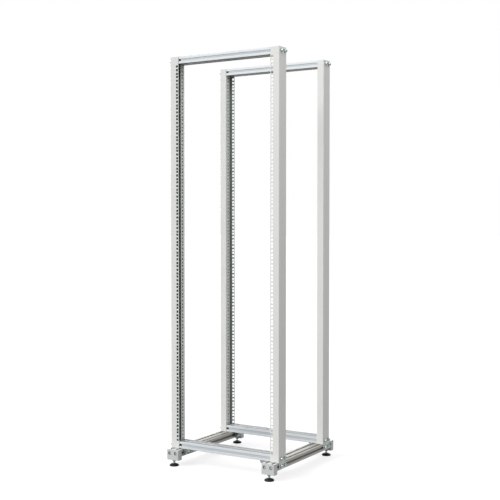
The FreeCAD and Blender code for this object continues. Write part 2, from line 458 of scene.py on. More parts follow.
def shade(colour, factor=1.0):
    """A colour made lighter or darker, with an alpha of one."""
    return tuple(min(1.0, channel * factor) for channel in colour) + (1.0,)


def mix_colour(tree, mask, first, second):
    """A colour mix; the colours are sockets or tuples."""
    return add_node(tree, "Mix", {"Factor": mask, 6: first, 7: second}, data_type="RGBA").outputs[2]


def seen_directly(tree):
    """One for the camera's rays, reflections and refractions, and zero for diffuse light."""
    path = add_node(tree, "LightPath").outputs
    seen = maths(tree, "MAXIMUM", path["Is Camera Ray"], path["Is Glossy Ray"])
    return maths(tree, "MAXIMUM", seen, path["Is Transmission Ray"])


def set_colour(tree, shader, tone, colour, darkest, lightest, layers):
    """A base colour that varies with the tone, under layers of (mask, colour)."""
    base = mix_colour(tree, tone, shade(colour, darkest), shade(colour, lightest))
    for mask, layer in layers:
        base = mix_colour(tree, mask, base, layer)
    tree.links.new(base, shader.inputs["Base Color"])


def set_roughness(tree, shader, tone, low, high, dust=None, dulling=0.0):
    """A roughness that varies with the tone and grows where dust lies."""
    rough = between(tree, tone, 0.0, 1.0, low, high)
    if dulling:
        rough = maths(tree, "ADD", rough, maths(tree, "MULTIPLY", dust, dulling))
    tree.links.new(rough, shader.inputs["Roughness"])


def set_bump(tree, shader, height, strength, distance):
    """A Bump node on the shader's normal."""
    node = add_node(tree, "Bump", {"Height": height, "Strength": strength, "Distance": distance})
    tree.links.new(node.outputs["Normal"], shader.inputs["Normal"])


def paint_material(name, colour, hollow_shade_colour, reach, deep, peel_scale, peel_strength, wear, roughness):
    """Powder coat or paint: uneven tone, orange peel, painted shade in the hollows, rubbed edges and light
    dust.
    """
    material, tree, shader = start_material(name, IOR=1.5)
    tone = place_group(tree, "Cloudiness", Scale=5.0, Fine_Scale=70.0)
    worn = place_group(tree, "Edge wear", Radius=0.0007, Amount=wear)
    dust = place_group(tree, "Dust", Amount=0.12)
    hollow = place_group(tree, "Cavity shade", Distance=reach, Amount=1.0)
    peel = place_group(tree, "Orange peel", Scale=peel_scale)
    set_colour(tree, shader, tone, colour, 0.965, 1.03, [
        (worn, shade(colour, 0.82)),
        (dust, PAINT_DUST),
        # Painted shade: hollows are darkened to the hollow shade colour, and the deepest of them nearly to
        # black.
        (hollow, shade(hollow_shade_colour)),
        (between(tree, hollow, deep, deep + 0.15), shade(hollow_shade_colour, 0.12)),
    ])
    set_roughness(tree, shader, tone, roughness - 0.05, roughness + 0.06, dust, 0.3)
    set_bump(tree, shader, peel, peel_strength, PEEL_HEIGHT)
    return material


def metal_material(name, colour, stretch, line_scale, roughness, wear):
    """Cast or plated metal: fine lines, cloudy tone, brighter edges and dust."""
    material, tree, shader = start_material(name, Metallic=1.0)
    lines = place_group(tree, "Drawn lines", Stretch=stretch, Scale=line_scale)
    tone = place_group(tree, "Cloudiness", Scale=9.0, Fine_Scale=120.0)
    worn = place_group(tree, "Edge wear", Radius=0.0006, Amount=wear)
    dust = place_group(tree, "Dust", Amount=0.10)
    set_colour(tree, shader, tone, colour, 0.95, 1.04, [
        (maths(tree, "MULTIPLY", lines, 0.35), shade(colour, 0.88)),
        (worn, shade(colour, 1.12)),
        (dust, METAL_DUST),
    ])
    set_roughness(tree, shader, lines, roughness - 0.06, roughness + 0.07, dust, 0.4)
    set_bump(tree, shader, lines, 0.25, LINE_HEIGHT)
    return material


def steel_material(name, colour, roughness):
    """Turned and plated steel of the screws and feet."""
    return metal_material(name, colour, LINES_ALONG_Z, line_scale=90.0, roughness=roughness, wear=0.6)


def anodised_material(name, colour, hollow_shade_colour, stretch, underside_shade, top_face_shade):
    """Drawn and anodised aluminium: fine lines, painted shade in the slots, on the top faces and on the faces
    that look down, and dust that dulls the top faces.
    """
    material, tree, shader = start_material(name, Metallic=0.15)
    lines = place_group(tree, "Drawn lines", Stretch=stretch, Scale=40.0)
    tone = place_group(tree, "Cloudiness", Scale=9.0, Fine_Scale=120.0)
    worn = place_group(tree, "Edge wear", Radius=0.0006, Amount=0.35)
    # Painted shade: the slots and other hollows are darkened to the hollow shade colour.
    slots = place_group(tree, "Cavity shade", Distance=0.012, Amount=1.0)
    # Painted shade: with this amount and evenness the mask covers the top faces and darkens their colour by
    # the top face shade factor; it also dulls their roughness.
    dust = place_group(tree, "Dust", Amount=0.76, Evenness=0.86)
    # Painted shade on the faces that look down.
    under = place_group(tree, "Underside", Amount=underside_shade)
    set_colour(tree, shader, tone, colour, 0.96, 1.03, [
        (maths(tree, "MULTIPLY", lines, 0.4), shade(colour, 0.86)),
        (slots, shade(hollow_shade_colour)),
        (worn, shade(colour, 1.12)),
        (dust, shade(colour, top_face_shade)),
        (under, UNDERSIDE_SHADE),
    ])
    set_roughness(tree, shader, lines, 0.40, 0.53, dust, 0.2)
    set_bump(tree, shader, lines, 0.25, LINE_HEIGHT)
    return material


def coated_material(name, colour):
    """Coated aluminium strip: faint lines along it, soft tone and a little dust."""
    material, tree, shader = start_material(name, IOR=1.46)
    lines = place_group(tree, "Drawn lines", Stretch=LINES_ALONG_X, Scale=30.0)
    tone = place_group(tree, "Cloudiness", Scale=8.0, Fine_Scale=150.0)
    dust = place_group(tree, "Dust", Amount=0.5, Evenness=0.2)
    set_colour(tree, shader, tone, colour, 0.95, 1.04, [
        (maths(tree, "MULTIPLY", lines, 0.3), shade(colour, 0.88)),
        (dust, shade(colour, 0.6)),
    ])
    set_roughness(tree, shader, tone, 0.38, 0.52)
    set_bump(tree, shader, lines, 0.2, STRIP_LINE_HEIGHT)
    return material


def rubber_material(name, colour):
    """Moulded rubber, also used for the black slot nuts that stand as painted shade: matt, faintly pitted and
    dusty.
    """
    material, tree, shader = start_material(name, IOR=1.27)
    tone = place_group(tree, "Cloudiness", Scale=30.0, Fine_Scale=400.0)
    dust = place_group(tree, "Dust", Amount=0.04)
    worn = place_group(tree, "Edge wear", Radius=0.001, Amount=0.4)
    pits = place_group(tree, "Orange peel", Scale=1600.0)
    set_colour(tree, shader, tone, colour, 0.8, 1.5, [(worn, RUBBED_RUBBER), (dust, RUBBER_DUST)])
    set_roughness(tree, shader, tone, 0.42, 0.58)
    set_bump(tree, shader, pits, 0.35, PIT_HEIGHT)
    return material


def finish_named(name):
    """The finish of that name, made from the settings the first time it is used."""
    made = bpy.data.materials.get(name)
    if made:
        return made
    colours = bpy.context.scene.rack.finish
    makers = {
        "Post powder coat": lambda: paint_material(
            name, colours.post_paint, colours.post_hollow_shade, reach=0.06, deep=0.82,
            peel_scale=750.0, peel_strength=0.28, wear=0.35, roughness=0.36),
        "Foot block paint": lambda: paint_material(
            name, colours.block_paint, colours.block_hollow_shade, reach=0.03, deep=0.38,
            peel_scale=520.0, peel_strength=0.5, wear=0.5, roughness=0.45),
        "Beam aluminium": lambda: anodised_material(
            name, colours.beam, colours.beam_slot_shade, LINES_ALONG_X, underside_shade=0.9, top_face_shade=0.18),
        "Rail aluminium": lambda: anodised_material(
            name, colours.rail, colours.rail_slot_shade, LINES_ALONG_Y, underside_shade=0.8, top_face_shade=0.62),
        "Bracket cast aluminium": lambda: metal_material(
            name, colours.cast, EVEN_GRAIN, line_scale=60.0, roughness=0.48, wear=0.35),
        "Plated steel": lambda: steel_material(name, colours.steel, roughness=0.26),
        "Stud steel": lambda: steel_material(name, colours.steel, roughness=0.30),
        "Nut steel with painted shade": lambda: steel_material(name, colours.foot_steel, roughness=0.34),
        "Foot rubber": lambda: rubber_material(name, colours.rubber),
        "Black slot shade": lambda: rubber_material(name, colours.slot_shade_black),
        "Cover strip": lambda: coated_material(name, colours.strip),
    }
    return makers[name]()


# ---------------------------------------------------------------- mesh helpers


BEVEL_ANGLE = math.radians(40)
SHARP_ANGLE = math.radians(38)
ALONG_X = Matrix(((0, 0, 1, 0), (1, 0, 0, 0), (0, 1, 0, 0), (0, 0, 0, 1)))
ALONG_Y = Matrix(((1, 0, 0, 0), (0, 0, 1, 0), (0, -1, 0, 0), (0, 0, 0, 1)))


def centre_of(box):
    """The middle of a (low, high) box as a list."""
    return [(low + high) / 2 for low, high in zip(*box)]


def box_face(box, axis, side):
    """Where a box's lower (-1) or upper (1) face lies on an axis."""
    return box[1 if side > 0 else 0][axis]


def facing(direction, place):
    """A matrix that turns +Z to a direction and moves the origin to a place."""
    turn = Vector(direction).to_track_quat("Z", "Y").to_matrix().to_4x4()
    return Matrix.Translation(place) @ turn


def stand_up(side):
    """A matrix that turns Y up and takes Z to +Y or -Y."""
    return Matrix(((1, 0, 0, 0), (0, 0, side, 0), (0, 1, 0, 0), (0, 0, 0, 1)))


def new_object(name, data):
    """An object in the scene."""
    made = bpy.data.objects.new(name, data)
    bpy.context.scene.collection.objects.link(made)
    return made


def new_piece(name, mesh, finish, replaces=(), edge=0.0, edge_steps=2):
    """A named piece that rides on the rack, with its finish and rounded edges."""
    piece = new_object(name, mesh)
    mesh.materials.clear()
    mesh.materials.append(finish_named(finish))
    for polygon in mesh.polygons:
        polygon.use_smooth = True
    if edge:
        bevel = piece.modifiers.new("Rounded edges", "BEVEL")
        bevel.width = edge
        bevel.segments = edge_steps
        bevel.limit_method = "ANGLE"
        bevel.angle_limit = BEVEL_ANGLE
        bevel.use_clamp_overlap = True
        bevel.miter_outer = "MITER_ARC"
    else:
        mesh.set_sharp_from_angle(angle=SHARP_ANGLE)
    normals = piece.modifiers.new("Even shading", "WEIGHTED_NORMAL")
    normals.keep_sharp = True
    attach(piece, "root")
    if replaces:
        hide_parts(*replaces)


def turn_outward(shaped):
    """Makes all faces of a closed shape look outward."""
    bmesh.ops.recalc_face_normals(shaped, faces=shaped.faces)
    if shaped.calc_volume(signed=True) < 0:
        bmesh.ops.reverse_faces(shaped, faces=shaped.faces)


def mesh_from(name, points, faces, matrix=None):
    """A mesh with outward normals from points and faces."""
    mesh = bpy.data.meshes.new(name)
    mesh.from_pydata(points, [], faces)
    shaped = bmesh.new()
    shaped.from_mesh(mesh)
    if matrix is not None:
        shaped.transform(matrix)
    turn_outward(shaped)
    shaped.to_mesh(mesh)
    shaped.free()
    return mesh


def finished_mesh(name, shaped):
    """A mesh out of a shape under construction, which is freed."""
    mesh = bpy.data.meshes.new(name)
    shaped.to_mesh(mesh)
    shaped.free()
    return mesh


def moved_mesh(mesh, matrix):
    """The mesh moved by the matrix; its faces look outward even when that mirrors it."""
    mesh.transform(matrix)
    if matrix.determinant() < 0:
        mesh.flip_normals()
    return mesh


def join_meshes(name, parts):
    """One mesh out of several (mesh, matrix) parts."""
    joined = bmesh.new()
    for mesh, matrix in parts:
        part = moved_mesh(mesh.copy(), matrix)
        joined.from_mesh(part)
        bpy.data.meshes.remove(part)
    return finished_mesh(name, joined)


def rounded_outline(corners, steps=3):
    """A closed outline from (point, radius) corners; a radius of zero keeps a corner sharp."""
    points = [Vector(point) for point, _ in corners]
    outline = []
    for i, (_, radius) in enumerate(corners):
        here = points[i]
        if radius <= 0:
            outline.append(here)
            continue
        before = (points[i - 1] - here).normalized()
        after = (points[(i + 1) % len(points)] - here).normalized()
        half = before.angle(after) / 2
        setback = radius / math.tan(half)
        middle = here + (before + after).normalized() * (radius / math.sin(half))
        first = here + before * setback - middle
        last = here + after * setback - middle
        turn = first.angle_signed(last)
        for step in range(steps + 1):
            angle = -turn * step / steps
            outline.append(middle + Vector((
                first.x * math.cos(angle) - first.y * math.sin(angle),
                first.x * math.sin(angle) + first.y * math.cos(angle),
            )))
    return outline


def circle_outline(centre, diameter, count, start=0.0):
    """Points of a circle, from the start angle."""
    return [
        (centre[0] + diameter / 2 * math.cos(start + 2 * math.pi * i / count),
         centre[1] + diameter / 2 * math.sin(start + 2 * math.pi * i / count))
        for i in range(count)
    ]


def extruded_mesh(name, loops, length, matrix):
    """A bar along Z with the given outline and inner loops, closed at both ends."""
    shaped = bmesh.new()
    edges = []
    rings = []
    for loop in loops:
        ring = [shaped.verts.new((x, y, 0)) for x, y in loop]
        rings.append(ring)
        edges += [shaped.edges.new((ring[i - 1], ring[i])) for i in range(len(ring))]
    filled = bmesh.ops.triangle_fill(shaped, use_beauty=True, edges=edges)
    cap = [item for item in filled["geom"] if isinstance(item, bmesh.types.BMFace)]
    top = {}
    for ring in rings:
        for vert in ring:
            top[vert] = shaped.verts.new((vert.co.x, vert.co.y, length))
    for face in cap:
        shaped.faces.new([top[vert] for vert in face.verts])
    for ring in rings:
        for i, b in enumerate(ring):
            a = ring[i - 1]
            shaped.faces.new((a, b, top[b], top[a]))
    shaped.transform(matrix)
    turn_outward(shaped)
    return finished_mesh(name, shaped)


def stacked_rings(name, levels, count, closed=False, matrix=None):
    """A solid from rings of count points along Z: levels are (height, radius or radius(angle))."""
    points = []
    faces = []
    for height, radius in levels:
        for i in range(count):
            angle = 2 * math.pi * i / count
            r = radius(angle) if callable(radius) else radius
            points.append((r * math.cos(angle), r * math.sin(angle), height))
    rows = len(levels)
    for row in range(rows if closed else rows - 1):
        low = row * count
        high = ((row + 1) % rows) * count
        for i in range(count):
            j = (i + 1) % count
            faces.append((low + i, low + j, high + j, high + i))
    if not closed:
        faces.append(tuple(range(count - 1, -1, -1)))
        faces.append(tuple((rows - 1) * count + i for i in range(count)))
    return mesh_from(name, points, faces, matrix)


def hexagon(flats, limit=math.inf):
    """Radius of a hexagon by angle, cut back to a circle of the limit's radius."""

    def radius(angle):
        turned = (angle + math.pi / 6) % (math.pi / 3) - math.pi / 6
        return min(flats / 2 / math.cos(turned), limit)

    return radius


def box_mesh(name, low, high):
    """A box between two corners."""
    points = [(x, y, z) for x in (low[0], high[0]) for y in (low[1], high[1]) for z in (low[2], high[2])]
    faces = [(0, 1, 3, 2), (4, 6, 7, 5), (0, 4, 5, 1), (2, 3, 7, 6), (0, 2, 6, 4), (1, 5, 7, 3)]
    return mesh_from(name, points, faces)


def cut_mesh(mesh, cutters):
    """The mesh with the cutter meshes taken out of it."""
    target = new_object("Cut target", mesh)
    tools = []
    for cutter in cutters:
        tool = new_object("Cutter", cutter)
        cut = target.modifiers.new("Cut", "BOOLEAN")
        cut.operation = "DIFFERENCE"
        cut.solver = "EXACT"
        cut.object = tool
        tools.append(tool)
    bpy.context.view_layer.update()
    graph = bpy.context.evaluated_depsgraph_get()
    made = bpy.data.meshes.new_from_object(target.evaluated_get(graph))
    made.name = mesh.name
    for piece in [target] + tools:
        bpy.data.objects.remove(piece, do_unlink=True)
    return made


# ---------------------------------------------------------------- posts


# Sheet that is kept on both sides of a round hole in its strip of the lip.
LIP_HOLE_MARGIN = 0.0025

# A round hole starts here, so that each quarter of it faces one side of its rectangle.
LOWER_LEFT = -0.75 * math.pi


class PostSheet:
    """The post's sheet laid flat: u runs round the section and v up the post."""

    def __init__(self, sizes, low, high):
        self.sizes = sizes
        self.width = high.x - low.x
        self.depth = high.y - low.y
        self.points = []
        self.faces = []
        self.index = {}

    def runs(self):
        """Lengths of the flange, web, inner flange and lip between the bends."""
        r = self.sizes.bend_radius
        return (
            self.width - r,
            self.depth - 2 * r,
            self.sizes.inner_flange - 2 * r,
            self.sizes.lip - r,
        )

    def arc(self):
        """Length of the outer face round one bend."""
        return self.sizes.bend_radius * math.pi / 2

    def fold(self, u):
        """(x, y) on the outer face and its outward normal, for a right front post."""
        r = self.sizes.bend_radius
        flange, web, inner, _ = self.runs()
        arc = self.arc()
        width, depth = self.width, self.depth
        if u <= flange:
            return Vector((u, 0)), Vector((0, -1))
        u -= flange
        if u < arc:
            return self.round_corner((width - r, r), u / r - math.pi / 2)
        u -= arc
        if u <= web:
            return Vector((width, r + u)), Vector((1, 0))
        u -= web
        if u < arc:
            return self.round_corner((width - r, depth - r), u / r)
        u -= arc
        if u <= inner:
            return Vector((width - r - u, depth)), Vector((0, 1))
        u -= inner
        lip_face = width - self.sizes.inner_flange
        if u < arc:
            return self.round_corner((lip_face + r, depth - r), u / r + math.pi / 2)
        u -= arc
        return Vector((lip_face, depth - r - u)), Vector((-1, 0))

    def round_corner(self, centre, angle):
        """A point and normal on a bend round a centre."""
        normal = Vector((math.cos(angle), math.sin(angle)))
        return Vector(centre) + normal * self.sizes.bend_radius, normal

    def vertex(self, u, v):
        """Index of the flat point (u, v), one point for all faces that share it."""
        key = (round(u * 1e6), round(v * 1e6))
        if key not in self.index:
            self.index[key] = len(self.points)
            self.points.append((u, v))
        return self.index[key]

    def rectangle(self, u0, u1, v0, v1):
        """Indices of a rectangle's corners, from its lower left one."""
        return [self.vertex(u, v) for u, v in ((u0, v0), (u1, v0), (u1, v1), (u0, v1))]

    def cell(self, u0, u1, v0, v1):
        """A plain rectangle of sheet."""
        self.faces.append(self.rectangle(u0, u1, v0, v1))

    def pierced_cell(self, u0, u1, v0, v1, hole):
        """A rectangle with a hole in it; the hole's points go round in four equal runs."""
        corners = self.rectangle(u0, u1, v0, v1)
        ring = [self.vertex(u, v) for u, v in hole]
        run = len(ring) // 4
        for side in range(4):
            inner = [ring[(side * run + step) % len(ring)] for step in range(run, -1, -1)]
            self.faces.append([corners[side], corners[(side + 1) % 4]] + inner)

    def solid(self, name, matrix):
        """Both faces of the folded sheet and the cut edges between them."""
        sheet = self.sizes.sheet
        outer = []
        inner = []
        for u, v in self.points:
            place, normal = self.fold(u)
            back = place - normal * sheet
            outer.append((place.x, place.y, v))
            inner.append((back.x, back.y, v))
        count = len(outer)
        faces = [list(face) for face in self.faces]
        faces += [[count + i for i in reversed(face)] for face in self.faces]
        used = {}
        for face in self.faces:
            for i, a in enumerate(face):
                used[(a, face[(i + 1) % len(face)])] = True
        for a, b in used:
            if (b, a) not in used:
                faces.append([b, a, count + a, count + b])
        return mesh_from(name, outer + inner, faces, matrix)


def square_hole_ring(u, v, size, corner):
    """Twelve points round a square hole with rounded corners, from its lower left one."""
    half = size / 2
    inset = corner * (1 - math.sqrt(0.5))
    ring = []
    for su, sv in ((-1, -1), (1, -1), (1, 1), (-1, 1)):
        across = (u + su * (half - corner), v + sv * half)
        middle = (u + su * (half - inset), v + sv * (half - inset))
        up = (u + su * half, v + sv * (half - corner))
        ring += [up, middle, across] if su == sv else [across, middle, up]
    return ring[1:] + ring[:1]


def post_columns(post, sizes):
    """Bounds in u of the sheet's strips: (start, end, kind)."""
    flange, web, inner, lip = post.runs()
    square = 2 * sizes.hole_setback
    middle = sizes.lip_hole_setback - sizes.bend_radius
    half = sizes.lip_hole / 2 + LIP_HOLE_MARGIN
    bend = [(post.arc() / sizes.bend_steps, "flange")] * sizes.bend_steps
    strips = [(square, "square holes"), (flange - square, "flange")] + bend
    strips += [(web, "web")] + bend + [(inner, "flange")] + bend
    strips += [(middle - half, "lip"), (2 * half, "round holes"), (lip - middle - half, "lip")]
    columns = []
    reach = 0.0
    for length, kind in strips:
        columns.append((reach, reach + length, kind))
        reach += length
    return columns


def post_rows(sizes, foot, top):
    """Heights between the rows of holes, with the hole's height or None for each row."""
    holes = [
        foot + sizes.first_unit + unit * sizes.unit_height + offset
        for unit in range(sizes.unit_count)
        for offset in UNIT_HOLES
    ]
    low = foot + sizes.notch
    high = top - sizes.notch
    bounds = [low] + [(a + b) / 2 for a, b in zip(holes, holes[1:])] + [high]
    rows = list(zip(bounds, bounds[1:], holes))
    return [(foot, low, None)] + rows + [(high, top, None)]


def build_post_mesh(name, sizes, low, high, foot, matrix):
    """One post as a bent, pierced sheet, with the lip left out beside the beams."""
    post = PostSheet(sizes, low, high)
    rows = post_rows(sizes, foot, high.z)
    for u0, u1, kind in post_columns(post, sizes):
        middle = (u0 + u1) / 2
        if kind == "web":
            post.cell(u0, u1, foot - sizes.tongue, foot)
        for v0, v1, hole in rows:
            if hole is None and kind in ("lip", "round holes"):
                continue
            if hole is None or kind in ("flange", "web", "lip"):
                post.cell(u0, u1, v0, v1)
                continue
            if kind == "square holes":
                ring = square_hole_ring(middle, hole, sizes.hole, sizes.hole_corner)
            else:
                ring = circle_outline((middle, hole), sizes.lip_hole, count=16, start=LOWER_LEFT)
            post.pierced_cell(u0, u1, v0, v1, ring)
    return post.solid(name, matrix)


class RACK_OT_posts(bpy.types.Operator):
    """Builds the four perforated posts as bent sheet"""

    bl_idname = "rack.posts"
    bl_label = "Posts"

    def execute(self, context):
        sizes = context.scene.rack.posts
        for corner, side, end in CORNERS:
            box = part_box(corner + "_post")
            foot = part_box(corner + "_foot_block")[1].z
            edge = Matrix.Translation((box_face(box, X, -side), box_face(box, Y, end), 0))
            place = edge @ Matrix.Diagonal((side, -end, 1, 1))
            mesh = build_post_mesh(corner + "_post_sheet", sizes, *box, foot, place)
            new_piece(corner + "_post_sheet", mesh, "Post powder coat",
                      [corner + "_post"], edge=sizes.edge, edge_steps=1)
        return {"FINISHED"}


# ---------------------------------------------------------------- extrusions


# Rounding inside the extrusions, and of the nuts that lie there.
SLOT_CORNER = 0.0006
LIP_CORNER = 0.0004
CHAMBER_CORNER = 0.0012


def slot_run(centre, out, sizes):
    """Corners and radii of one slot, met while going round the section clockwise."""
    along = Vector((out[1], -out[0]))
    out = Vector(out)
    lip, wide, depth = sizes.lip, sizes.width / 2, sizes.depth
    mouth, floor = sizes.mouth / 2, sizes.floor / 2
    shoulder = lip + sizes.shoulder
    half = [
        (mouth, 0, sizes.mouth_corner), (mouth, lip, sizes.mouth_corner * 0.8), (wide, lip, LIP_CORNER),
        (wide, shoulder, SLOT_CORNER), (floor, depth, SLOT_CORNER),
    ]
    run = [(-a, d, r) for a, d, r in half] + half[::-1]
    middle = Vector(centre)
    return [(middle + along * a - out * d, r) for a, d, r in run]


def extrusion_loops(width, height, setback, sizes):
    """Outline, chamber and screw bores of an extrusion's section."""
    half_w, half_h = width / 2, height / 2
    spacing = width / 2 - setback
    sides = [
        ((-half_w, half_h), [((-spacing, half_h), (0, 1)), ((spacing, half_h), (0, 1))]),
        ((half_w, half_h), [((half_w, 0), (1, 0))]),
        ((half_w, -half_h), [((spacing, -half_h), (0, -1)), ((-spacing, -half_h), (0, -1))]),
        ((-half_w, -half_h), [((-half_w, 0), (-1, 0))]),
    ]
    corners = []
    for corner, slots in sides:
        corners.append((corner, sizes.corner))
        for centre, out in slots:
            corners += slot_run(centre, out, sizes)
    w = spacing - sizes.width / 2 - sizes.wall
    h = half_h - sizes.wall
    chamber = [((x, y), CHAMBER_CORNER) for x, y in ((-w, h), (w, h), (w, -h), (-w, -h))]
    bores = [circle_outline((x, 0), sizes.screw_bore, count=24) for x in (-spacing, spacing)]
    return [rounded_outline(corners), rounded_outline(chamber)] + bores


def new_extrusion(node, axis, turn, setback, finish):
    """Replaces a node with an extrusion that fills its box and runs along the axis."""
    sizes = bpy.context.scene.rack.extrusions
    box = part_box(node)
    width, depth, height = [high - low for low, high in zip(*box)]
    across, length = (depth, width) if axis == X else (width, depth)
    start = centre_of(box)
    start[axis] = box[0][axis]
    loops = extrusion_loops(across, height, setback, sizes)
    mesh = extruded_mesh(node + "_profile", loops, length, Matrix.Translation(start) @ turn)
    new_piece(node + "_profile", mesh, finish, [node])


class RACK_OT_beams(bpy.types.Operator):
    """Builds the four T-slot cross beams"""

    bl_idname = "rack.beams"
    bl_label = "Cross beams"

    def execute(self, context):
        setback = context.scene.rack.extrusions.beam_setback
        for beam, _ in BEAMS:
            new_extrusion(beam, X, ALONG_X, setback, "Beam aluminium")
        return {"FINISHED"}


class RACK_OT_rails(bpy.types.Operator):
    """Builds the two T-slot side rails"""

    bl_idname = "rack.rails"
    bl_label = "Side rails"

    def execute(self, context):
        setback = context.scene.rack.extrusions.rail_setback
        for side, _ in SIDES:
            new_extrusion(side + "_side_rail", Y, ALONG_Y, setback, "Rail aluminium")
        return {"FINISHED"}


# ---------------------------------------------------------------- feet


# How far a cutter starts outside the block that it cuts.
OVERRUN = 0.002

STUD_HOLE_DEPTH = 0.021
STUD_HOLE_FIT = 0.0002

# Half section of a pad, from the sole up: (height, share of the radius).
PAD_PROFILE_HEIGHT = 0.012
PAD_PROFILE = (
    (0.0012, 0.2), (0.0012, 0.72), (0.0, 0.78), (0.0, 0.955), (0.0007, 0.99), (0.0032, 1.0),
    (0.0042, 0.985), (0.0046, 0.955), (0.0056, 0.94), (0.0068, 0.87), (0.0080, 0.78), (0.0090, 0.69),
    (0.0097, 0.62), (0.0101, 0.54), (0.0103, 0.40), (0.0104, 0.31), (0.0115, 0.30), (0.0119, 0.29),
    (0.012, 0.27), (0.012, 0.2),
)


def block_mesh(name, box, end, slot_z, sizes, setback):
    """A cast block: rounded front uprights, counterbores, top grooves and stud hole."""
    low, high = box
    width = high.x - low.x
    depth = high.y - low.y
    bore = sizes.counterbore / 2
    hole = sizes.stud / 2 + STUD_HOLE_FIT
    corners = [
        ((-width / 2, 0), sizes.block_corner), ((width / 2, 0), sizes.block_corner),
        ((width / 2, depth), 0), ((-width / 2, depth), 0),
    ]
    stand = Matrix.Translation((0, 0, low.z))
    body = extruded_mesh(name, [rounded_outline(corners, steps=5)], high.z - low.z, stand)
    cutters = []
    for x in (-width / 2 + setback, width / 2 - setback):
        levels = [(-OVERRUN, bore), (sizes.counterbore_depth, bore)]
        inward = facing((0, 1, 0), (x, 0, slot_z))
        cutters.append(stacked_rings("Counterbore", levels, count=32, matrix=inward))
        groove_low = (x - sizes.groove / 2, sizes.front_wall, high.z - sizes.groove_depth)
        groove_high = (x + sizes.groove / 2, depth + OVERRUN, high.z + OVERRUN)
        cutters.append(box_mesh("Groove", groove_low, groove_high))
    levels = [(low.z - OVERRUN, hole), (low.z + STUD_HOLE_DEPTH, hole)]
    middle = Matrix.Translation((0, depth / 2, 0))
    cutters.append(stacked_rings("Stud hole", levels, count=24, matrix=middle))
    place = Matrix.Translation((centre_of(box)[X], box_face(box, Y, end), 0))
    return moved_mesh(cut_mesh(body, cutters), place @ Matrix.Diagonal((1, -end, 1, 1)))


class RACK_OT_foot_blocks(bpy.types.Operator):
    """Builds the cast blocks that close the side rails"""

    bl_idname = "rack.foot_blocks"
    bl_label = "Foot blocks"

    def execute(self, context):
        settings = context.scene.rack
        sizes = settings.feet
        setback = settings.extrusions.rail_setback
        for corner, _, end in CORNERS:
            name = corner + "_block_casting"
            slot_z = centre_of(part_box(corner.split("_")[1] + "_side_rail"))[Z]
            mesh = block_mesh(name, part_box(corner + "_foot_block"), end, slot_z, sizes, setback)
            new_piece(name, mesh, "Foot block paint",
                      [corner + "_foot_block"], edge=sizes.block_edge)
        return {"FINISHED"}


class RACK_OT_feet(bpy.types.Operator):
    """Builds the levelling feet: rubber pads, threaded studs and lock nuts"""

    bl_idname = "rack.feet"
    bl_label = "Levelling feet"

    def execute(self, context):
        sizes = context.scene.rack.feet
        for corner, _, _ in CORNERS:
            pad = self.pad(corner + "_rubber_pad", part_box(corner + "_foot_pad"))
            new_piece(corner + "_rubber_pad", pad, "Foot rubber", [corner + "_foot_pad"])
            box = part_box(corner + "_foot_stud")
            x, y, _ = centre_of(box)
            place = Matrix.Translation((x, y, 0))
            stud = self.thread(corner + "_threaded_stud", box[0].z, box[1].z, sizes, place)
            new_piece(corner + "_threaded_stud", stud, "Stud steel", [corner + "_foot_stud"])
            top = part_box(corner + "_foot_block")[0].z
            nut = self.nut(corner + "_lock_nut", top, sizes, place)
            # The lock nut takes the darker steel, painted shade under the block.
            new_piece(corner + "_lock_nut", nut, "Nut steel with painted shade")
        return {"FINISHED"}

    def pad(self, name, box):
        """A foot's pad: hollow sole, upright rim, low dome and a short neck."""
        low, high = box
        radius = (high.x - low.x) / 2
        scale = (high.z - low.z) / PAD_PROFILE_HEIGHT
        levels = [(height * scale, share * radius) for height, share in PAD_PROFILE]
        x, y, _ = centre_of(box)
        return stacked_rings(name, levels, count=64, matrix=Matrix.Translation((x, y, low.z)))

    def thread(self, name, low, high, sizes, place):
        """A threaded rod from low to high."""
        pitch = sizes.thread_pitch
        crest = sizes.stud / 2
        root = crest - 0.6 * pitch
        flank, valley = 1.6, 0.3
        rings_in_a_turn = 6
        steps = int((high - low) / pitch * rings_in_a_turn)
        levels = []
        for step in range(steps + 1):
            height = low + (high - low) * step / steps

            def radius(angle, height=height):
                phase = (height / pitch - angle / (2 * math.pi)) % 1.0
                ridge = min(1.0, max(0.0, flank * (1 - abs(2 * phase - 1)) - valley))
                return root + (crest - root) * ridge

            levels.append((height, radius))
        return stacked_rings(name, levels, count=24, matrix=place)

    def nut(self, name, top, sizes, place):
        """A chamfered hexagon nut below the block."""
        foot = top - sizes.nut_height
        bore = sizes.stud / 2
        chamfer = 0.0009
        ease = chamfer * 0.4
        face = sizes.nut_flats * 0.47
        sides = hexagon(sizes.nut_flats)
        cut_back = hexagon(sizes.nut_flats, sizes.nut_flats * 0.51)
        levels = [
            (foot, bore), (foot, face), (foot + ease, cut_back), (foot + chamfer, sides),
            (top - chamfer, sides), (top - ease, cut_back), (top, face), (top, bore),
        ]
        return stacked_rings(name, levels, count=48, closed=True, matrix=place)


# ---------------------------------------------------------------- brackets


BRACKET_CORNER = 0.0012
BRACKET_TIP = 0.0008
BRACKET_EDGE = 0.0005


